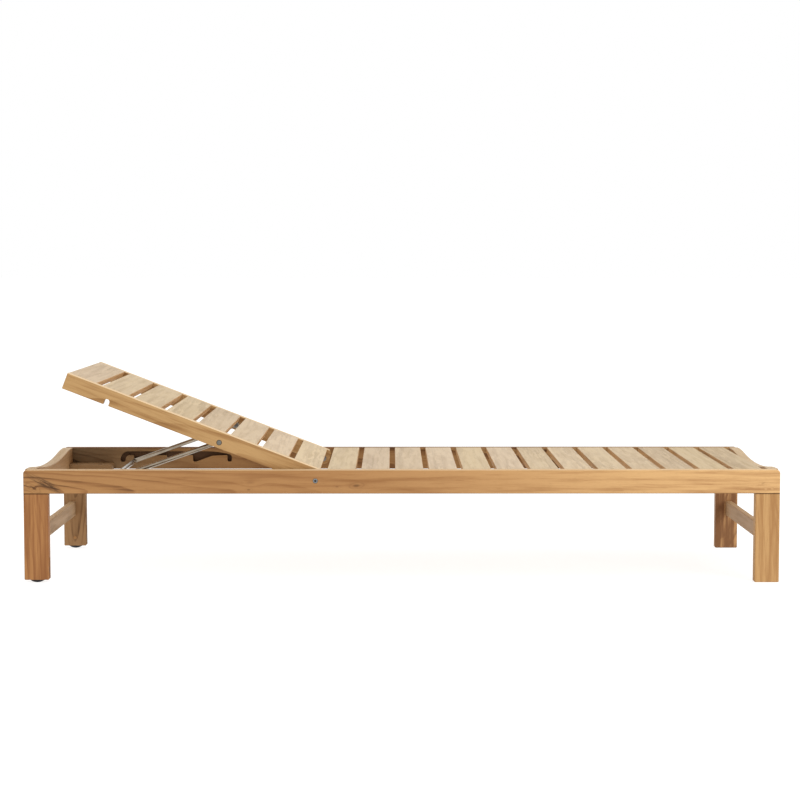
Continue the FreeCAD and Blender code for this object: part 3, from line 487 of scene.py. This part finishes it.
for turn in (0, 90):
    bpy.ops.mesh.primitive_cylinder_add(vertices=4, radius=CROSS_HALF_WIDTH, depth=CROSS_LENGTH,
                                        rotation=(math.radians(90), math.radians(45), 0),
                                        location=SCREW_PLACE + CROSS_RISE)
    cutter = bpy.context.active_object
    bpy.ops.transform.rotate(value=math.radians(turn), orient_axis="Z", center_override=SCREW_PLACE)
    cut = screw.modifiers.new("cross_recess", "BOOLEAN")
    cut.solver, cut.object = "EXACT", cutter
    bpy.context.view_layer.objects.active = screw
    bpy.ops.object.modifier_apply(modifier=cut.name)
    bpy.data.objects.remove(cutter)
bpy.ops.object.select_all(action="DESELECT")
screw.select_set(True)
settle(screw, "rest_screw_right_1", "frame", screw_steel_painted_shade)
twin(screw, "rest_screw_right_2", (SCREW_GAP, 0, 0), "frame")
twin(screw, "rest_screw_left_1", (0, BLOCK_GAP, 0), "frame")
twin(screw, "rest_screw_left_2", (SCREW_GAP, BLOCK_GAP, 0), "frame")


# Seat slats: thirteen thin teak boards tenoned across between the side rails, sanded pale, no two alike in
# figure. They get a little browner towards the foot end.
chance = random.Random(1329)
PALE, PALE_DEEP, PALE_STREAK = tone(186, 146, 98), tone(160, 120, 74), tone(116, 88, 60)
PALE_TOP = (204, 184, 153)
SEAT_SLATS, FIRST_BROWNER_SLAT = 13, 9


def slat_finish(node, number, browner):
    """A slat's own finish: its grain runs across the lounger, and its top has its own shade."""
    low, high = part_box(node)
    grey = chance.uniform(-5, 5) - browner
    warm = chance.uniform(-5, 5) - browner * 0.2
    red, green, blue = [channel + grey for channel in PALE_TOP]
    pith = (chance.uniform(-0.06, 0.06), chance.uniform(-0.06, -0.01))
    tilt = chance.uniform(-0.03, 0.03)
    rings = chance.uniform(50, 90)
    clothe(teak(node + "_teak", PALE, PALE_DEEP, PALE_STREAK, axes="YXZ",
                middle=(0, (low.x + high.x) / 2, high.z), seed=20 + number, pith=pith, tilt=tilt, rings=rings,
                figure=0.55, bands=0.5, wave=0.7, mottle=1.5, weathered=tone(red, green, blue + warm)), node)


for number in range(1, SEAT_SLATS + 1):
    slat_finish(f"seat_slat_{number}", number, max(0.0, number - FIRST_BROWNER_SLAT + 1) * 2)


# Backrest: two teak rails either side of eight slats like the seat's, tenoned together, turning on the pivot
# bolts. A notch under each rail takes the prop's cross rod when the backrest lies flat.
BACK_TIP = math.radians(-21.1)
BACK_RAIL_OUT = 0.281
AMBER, AMBER_DEEP, AMBER_STREAK = tone(178, 141, 93), tone(146, 106, 62), tone(100, 70, 42)
BACK_ARRIS, BACK_ARRIS_HIGHLIGHT = (0.0202, 0.0212), tone(226, 200, 162)
BACK_SLATS, GREYER_BACK_SLATS = 8, (1, 3, 5)
for number, (side_name, side) in enumerate(SIDES):
    corners = [corner.co for corner in nodes["backrest_rail_" + side_name].data.vertices]
    heights = [(Matrix.Rotation(BACK_TIP, 3, "Y") @ corner).z for corner in corners]
    middle = (0, (min(heights) + max(heights)) / 2, side * BACK_RAIL_OUT)
    back_rail = teak("back_rail_teak_" + side_name, AMBER, AMBER_DEEP, AMBER_STREAK, middle=middle,
                     tip=BACK_TIP, seed=40 + number, pith=(-0.03, 0.06), tilt=0.05, figure=0.7, bands=0.8,
                     mottle=0.75)
    # A painted highlight along the rail's top edge.
    arris = back_rail.ease(back_rail.across, *BACK_ARRIS)
    back_rail.paint(Base_Color=back_rail.mix(back_rail.colour, BACK_ARRIS_HIGHLIGHT, arris * 0.75))
    clothe(back_rail, "backrest_rail_" + side_name)
for number in range(1, BACK_SLATS + 1):
    slat_finish(f"back_slat_{number}", 20 + number, 5 if number in GREYER_BACK_SLATS else 0)


# Prop: two stainless bars with flattened eyes, hung on the prop bolts, and a cross rod whose ends run in the
# tracks, all drawn and polished lengthwise. A bead of weld holds each bar to the rod. The bolts, nuts, spacers
# and axles are turned from the same steel, the pivot bolts with a hexagon socket.
PROP_SHADE, BOLT_SHADOW = tone(163, 152, 136), tone(38, 37, 36)
SOCKET_SHADOW, RIM_SHADOW = (0.0004, -0.0002), (-0.0016, -0.0006)
arm_low, arm_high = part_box("prop_arm_right")
ARM_LEAN = math.atan2(arm_high.z - arm_low.z, arm_high.x - arm_low.x)
clothe(steel("prop_steel", PROP_SHADE, 0.22, tip=ARM_LEAN), "prop_arm_right", "prop_arm_left")
clothe(steel("rod_steel", PROP_SHADE, 0.22, scratched=(900.0, 6.0, 900.0)), "cross_rod")
clothe(steel("small_steel", tone(132, 131, 130), 0.36, scratched=TURNED),
       *[f"{kind}_{side_name}" for kind in ("pivot_spacer", "pivot_nut", "prop_spacer", "prop_nut", "axle")
         for side_name, _ in SIDES])
for kind, shade, socket in (("pivot", tone(142, 144, 146), 0.0032), ("prop", tone(120, 117, 110), None)):
    bolt = steel(kind + "_bolt_steel", shade, 0.42, scratched=TURNED)
    low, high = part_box(f"{kind}_bolt_right")
    place_x, _, place_z = bolt.split(bolt.place)
    from_axis = ((place_x - (low.x + high.x) / 2) ** 2 + (place_z - (low.z + high.z) / 2) ** 2) ** 0.5
    edge, shadowed = (socket, SOCKET_SHADOW) if socket else ((high.x - low.x) / 2, RIM_SHADOW)
    shadow = bolt.ease(from_axis, edge + shadowed[0], edge + shadowed[1])
    bolt.paint(Base_Color=bolt.mix(bolt.colour, BOLT_SHADOW, shadow * 0.8))
    clothe(bolt, f"{kind}_bolt_right", f"{kind}_bolt_left")

weld_steel = steel("weld_steel", tone(140, 132, 120), 0.4, scratched=(500.0, 500.0, 500.0))
WELD_RADIUS, WELD_THICK, WELD_UP_ARM = 0.0056, 0.0011, 0.0032
WELD_SIDE, WELD_MIDDLE, WELD_WAVE = 0.0042, 0.0022, 0.0022
ALONG_ARM = Vector((math.cos(ARM_LEAN), 0, math.sin(ARM_LEAN)))
rod_low, rod_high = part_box("cross_rod")
arm_middle = (arm_low.y + arm_high.y) / 2
joint = Vector(((rod_low.x + rod_high.x) / 2, arm_middle, (rod_low.z + rod_high.z) / 2))
bpy.ops.mesh.primitive_torus_add(location=joint + ALONG_ARM * WELD_UP_ARM,
                                 rotation=(0, math.pi / 2 - ARM_LEAN, 0), major_segments=36,
                                 minor_segments=10, major_radius=WELD_RADIUS, minor_radius=WELD_THICK)
weld = bpy.context.active_object
bpy.ops.object.transform_apply(location=True, rotation=True, scale=True)
pick(weld, lambda corner: abs(corner.co.y - arm_middle) > WELD_SIDE, "VERT")
bpy.ops.transform.translate(value=ALONG_ARM * WELD_WAVE)
pick(weld, lambda corner: abs(corner.co.y - arm_middle) < WELD_MIDDLE, "VERT")
bpy.ops.transform.translate(value=ALONG_ARM * -WELD_WAVE)
bpy.ops.mesh.select_all(action="SELECT")
bpy.ops.mesh.vertices_smooth(factor=0.5, repeat=2)
bpy.ops.transform.vertex_random(offset=0.0001, seed=3)
settle(weld, "arm_weld_right", "prop", weld_steel)
twin(weld, "arm_weld_left", (0, -2 * arm_middle, 0), "prop")


# Wheels: black moulded plastic, nearly hidden in slots cut up into the head legs, each on a steel axle. On
# the inner side of the leg a plug, cut from the same dowel as the pegs, closes the axle's hole.
WHEEL_BLACK, WHEEL_SCUFFED = tone(14, 14, 15), tone(32, 31, 30)
wheel = Finish("wheel_black", Specular_IOR_Level=0.4)
wheel_place = wheel.add("ShaderNodeTexCoord", output="Object")
scuffs = wheel.noise(wheel_place, (260.0, 260.0, 260.0), detail=4.0, roughness=0.7)
wheel_colour = wheel.mix(WHEEL_BLACK, WHEEL_SCUFFED, wheel.ease(scuffs, 0.45, 0.8))
wheel_bump = wheel.add("ShaderNodeBump", {}, {"Strength": 0.2, "Distance": 0.0002, "Height": scuffs})
wheel.paint(Base_Color=wheel_colour, Roughness=0.5 + scuffs * 0.2, Normal=wheel_bump)
clothe(wheel, "wheel_right", "wheel_left")

PLUG_PLACE = (-0.9675, -0.2966, 0.032)
PLUG_RADIUS, PLUG_DEPTH = 0.0048, 0.002
PLUG_STEPS = ((0.0008, 0.0003), (0.0018, 0.00015))
bpy.ops.mesh.primitive_cylinder_add(vertices=40, radius=PLUG_RADIUS, depth=PLUG_DEPTH,
                                    rotation=(math.radians(90), 0, 0), location=PLUG_PLACE)
plug = bpy.context.active_object
bpy.ops.object.transform_apply(location=True, rotation=True, scale=True)
pick(plug, lambda face: face.normal.y > 0.9)
for step_in, step_out in PLUG_STEPS:
    bpy.ops.mesh.inset(thickness=step_in)
    bpy.ops.transform.translate(value=(0, step_out, 0))
settle(plug, "axle_plug_right", "frame", pegs)
twin(plug, "axle_plug_left", (0, 0, 0), "frame")
bpy.ops.transform.rotate(value=math.pi, orient_axis="Z", center_override=(PLUG_PLACE[0], 0, 0))
bpy.ops.object.transform_apply(location=True, rotation=True, scale=True)


# Floor: plain matt white, lit a little from below as a studio's light table is, so that shadows stay as
# faint as in the photograph. It isn't part of the lounger.
FLOOR_GREY = (0.34, 0.34, 0.34, 1.0)
floor_finish = Finish("floor_white", Roughness=0.95, Specular_IOR_Level=0.0, Base_Color=FLOOR_GREY,
                      Emission_Color=WHITE, Emission_Strength=0.80)
floor.data.materials.append(floor_finish.material)
